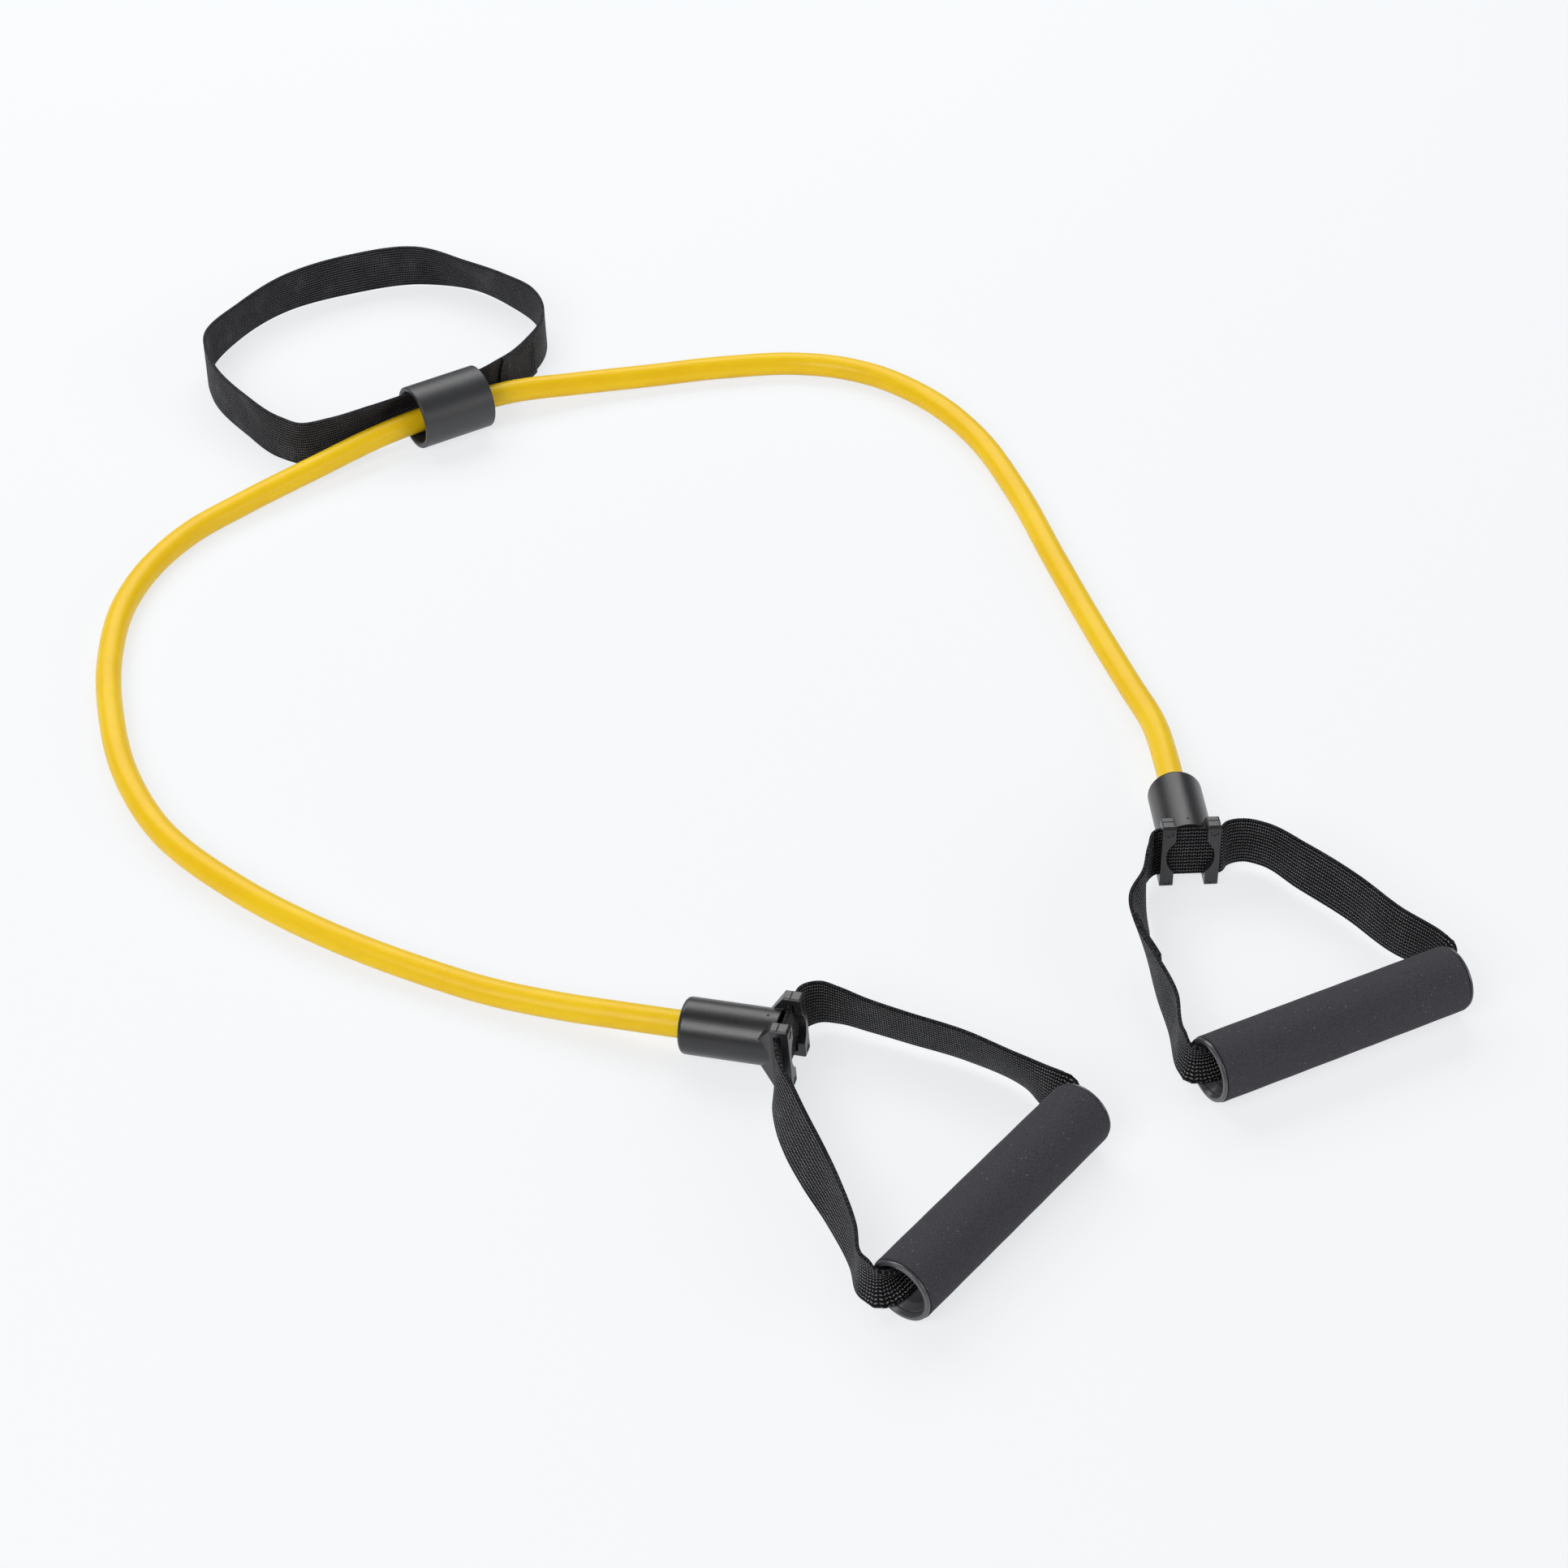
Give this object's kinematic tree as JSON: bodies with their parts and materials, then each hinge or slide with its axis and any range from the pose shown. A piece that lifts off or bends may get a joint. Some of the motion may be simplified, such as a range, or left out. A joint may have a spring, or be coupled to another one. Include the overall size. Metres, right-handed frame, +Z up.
{
  "type": "resistance_band",
  "caption": "Tube resistance band: elastic tube with a swivelling jaw connector, webbing strap and foam grip at each end, and a webbing anchor loop on a sliding sleeve",
  "frame": {"origin": "Centre of the laid-out handles and anchor loop, on the floor they lie on.", "axes": "+Z up from the floor, +Y from the handles towards the anchor loop, +X towards the rear handle's side."},
  "size_m": [0.62, 0.7628, 0.033],
  "materials": {
    "tube_rubber": "satin",
    "webbing": "woven",
    "connector_plastic": "fine-grained satin",
    "grip_foam": "matt, fine-grained",
    "grip_plastic": "satin",
    "sleeve_plastic": "smooth satin",
    "plug_plastic": "plain"
  },
  "bodies": {
    "band": {"band_tube": "tube_rubber", "front_plug": "plug_plastic", "rear_plug": "plug_plastic"},
    "front_swivel": {"front_connector": "connector_plastic"},
    "front_strap": {"front_handle_strap": "webbing"},
    "front_grip": {"front_grip_core": "grip_plastic", "front_near_ring": "grip_plastic", "front_far_ring": "grip_plastic", "front_foam_grip": "grip_foam"},
    "rear_swivel": {"rear_connector": "connector_plastic"},
    "rear_strap": {"rear_handle_strap": "webbing"},
    "rear_grip": {"rear_grip_core": "grip_plastic", "rear_near_ring": "grip_plastic", "rear_far_ring": "grip_plastic", "rear_foam_grip": "grip_foam"},
    "sleeve": {"anchor_sleeve": "sleeve_plastic"},
    "loop": {"anchor_strap": "webbing"}
  },
  "joints": [
    {"name": "front_connector_swivel", "type": "hinge", "parent": "band", "child": "front_swivel", "pos_m": [-0.008, -0.231, 0.0147], "axis": [0.9569, -0.2791, 0.0797], "continuous": true},
    {"name": "front_handle_swing", "type": "hinge", "parent": "front_swivel", "child": "front_strap", "pos_m": [0.01104, -0.23655, 0.01629], "axis": [-0.0766, 0.0223, 0.9968], "range_deg": [-3, 66], "deforming": ["front_handle_strap"]},
    {"name": "front_grip_spin", "type": "hinge", "parent": "front_strap", "child": "front_grip", "pos_m": [0.0925, -0.325, 0.0145], "axis": [0.6225, 0.7826, 0], "continuous": true},
    {"name": "rear_connector_swivel", "type": "hinge", "parent": "band", "child": "rear_swivel", "pos_m": [0.1875, -0.0975, 0.0147], "axis": [0.0518, -0.9952, 0.0829], "continuous": true},
    {"name": "rear_handle_swing", "type": "hinge", "parent": "rear_swivel", "child": "rear_strap", "pos_m": [0.18853, -0.11731, 0.01635], "axis": [-0.0043, 0.0828, 0.9966], "range_deg": [-57, 13], "deforming": ["rear_handle_strap"]},
    {"name": "rear_grip_spin", "type": "hinge", "parent": "rear_strap", "child": "rear_grip", "pos_m": [0.239, -0.225, 0.0145], "axis": [0.891, 0.454, 0], "continuous": true},
    {"name": "anchor_sleeve_slide", "type": "slide", "parent": "band", "child": "sleeve", "axis": [0.848, 0.53, 0], "range_m": [-0.01, 0.01]},
    {"name": "anchor_loop_swing", "type": "hinge", "parent": "sleeve", "child": "loop", "pos_m": [-0.16612, 0.2343, 0.0165], "axis": [0.848, 0.53, 0], "range_deg": [0, 95], "deforming": ["anchor_strap"]}
  ]
}
